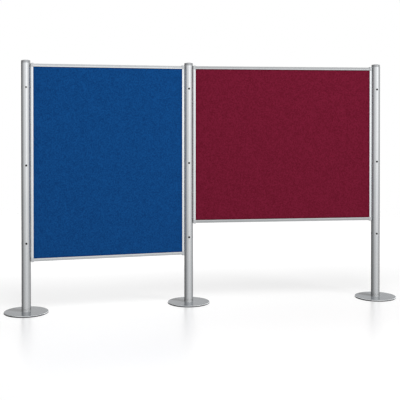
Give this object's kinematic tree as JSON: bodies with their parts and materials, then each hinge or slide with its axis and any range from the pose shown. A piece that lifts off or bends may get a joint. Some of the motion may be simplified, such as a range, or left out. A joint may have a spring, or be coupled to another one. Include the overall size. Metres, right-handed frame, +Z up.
{
  "type": "office partition",
  "caption": "Free-standing office partition: framed felt pin panels bolted between round metal posts on disc bases, each panel rocking a little at its posts.",
  "frame": {"origin": "centre of the middle post's base, on the floor", "axes": "+X along the right wing away from the middle post, +Z up, the side shown in the picture is -Y"},
  "size_m": [3.1936, 0.5163, 1.95],
  "materials": {
    "post_aluminium": "satin anodised",
    "cap_plastic": "silver grey moulded plastic",
    "base_steel": "silver powder coat over steel, satin",
    "pad_rubber": "matte",
    "insert_aluminium": "machined",
    "fastener_steel": "zinc plated",
    "frame_aluminium": "satin anodised",
    "corner_plastic": "silver grey moulded plastic",
    "soft_board": "soft fibre board, about as dense as cardboard",
    "blue_felt": "needled felt",
    "red_felt": "needled felt"
  },
  "bodies": {
    "middle_post": {"middle_post_base_bolt": "fastener_steel", "middle_post_base_disc": "base_steel", "middle_post_floor_pad": "pad_rubber", "middle_post_foot_insert": "insert_aluminium", "middle_post_top_cap": "cap_plastic", "middle_post_tube": "post_aluminium"},
    "blue_panel": {"blue_panel_back_fabric": "blue_felt", "blue_panel_bottom_rail": "frame_aluminium", "blue_panel_core_board": "soft_board", "blue_panel_front_fabric": "blue_felt", "blue_panel_left_barrels": "fastener_steel", "blue_panel_left_bolts": "fastener_steel", "blue_panel_left_slot_nuts": "fastener_steel", "blue_panel_left_stile": "frame_aluminium", "blue_panel_lower_left_block": "corner_plastic", "blue_panel_lower_right_block": "corner_plastic", "blue_panel_right_barrels": "fastener_steel", "blue_panel_right_bolts": "fastener_steel", "blue_panel_right_slot_nuts": "fastener_steel", "blue_panel_right_stile": "frame_aluminium", "blue_panel_top_rail": "frame_aluminium", "blue_panel_upper_left_block": "corner_plastic", "blue_panel_upper_right_block": "corner_plastic"},
    "left_post": {"left_post_base_bolt": "fastener_steel", "left_post_base_disc": "base_steel", "left_post_floor_pad": "pad_rubber", "left_post_foot_insert": "insert_aluminium", "left_post_top_cap": "cap_plastic", "left_post_tube": "post_aluminium"},
    "red_panel": {"red_panel_back_fabric": "red_felt", "red_panel_bottom_rail": "frame_aluminium", "red_panel_core_board": "soft_board", "red_panel_front_fabric": "red_felt", "red_panel_left_barrels": "fastener_steel", "red_panel_left_bolts": "fastener_steel", "red_panel_left_slot_nuts": "fastener_steel", "red_panel_left_stile": "frame_aluminium", "red_panel_lower_left_block": "corner_plastic", "red_panel_lower_right_block": "corner_plastic", "red_panel_right_barrels": "fastener_steel", "red_panel_right_bolts": "fastener_steel", "red_panel_right_slot_nuts": "fastener_steel", "red_panel_right_stile": "frame_aluminium", "red_panel_top_rail": "frame_aluminium", "red_panel_upper_left_block": "corner_plastic", "red_panel_upper_right_block": "corner_plastic"},
    "right_post": {"right_post_base_bolt": "fastener_steel", "right_post_base_disc": "base_steel", "right_post_floor_pad": "pad_rubber", "right_post_foot_insert": "insert_aluminium", "right_post_top_cap": "cap_plastic", "right_post_tube": "post_aluminium"}
  },
  "joints": [
    {"name": "blue_panel_swivel", "type": "hinge", "parent": "middle_post", "child": "blue_panel", "pos_m": [-0.0262, 0, 1.138], "axis": [0, 0, 1], "range_deg": [-23, 7]},
    {"name": "left_post_swivel", "type": "hinge", "parent": "blue_panel", "child": "left_post", "pos_m": [-1.25473, -0.17266, 1.138], "axis": [0, 0, 1], "range_deg": [-15, 15]},
    {"name": "red_panel_swivel", "type": "hinge", "parent": "middle_post", "child": "red_panel", "pos_m": [0.0262, 0, 1.138], "axis": [0, 0, 1], "range_deg": [-15, 15]},
    {"name": "right_post_swivel", "type": "hinge", "parent": "red_panel", "child": "right_post", "pos_m": [1.5468, 0, 1.138], "axis": [0, 0, 1], "range_deg": [-15, 15]}
  ]
}
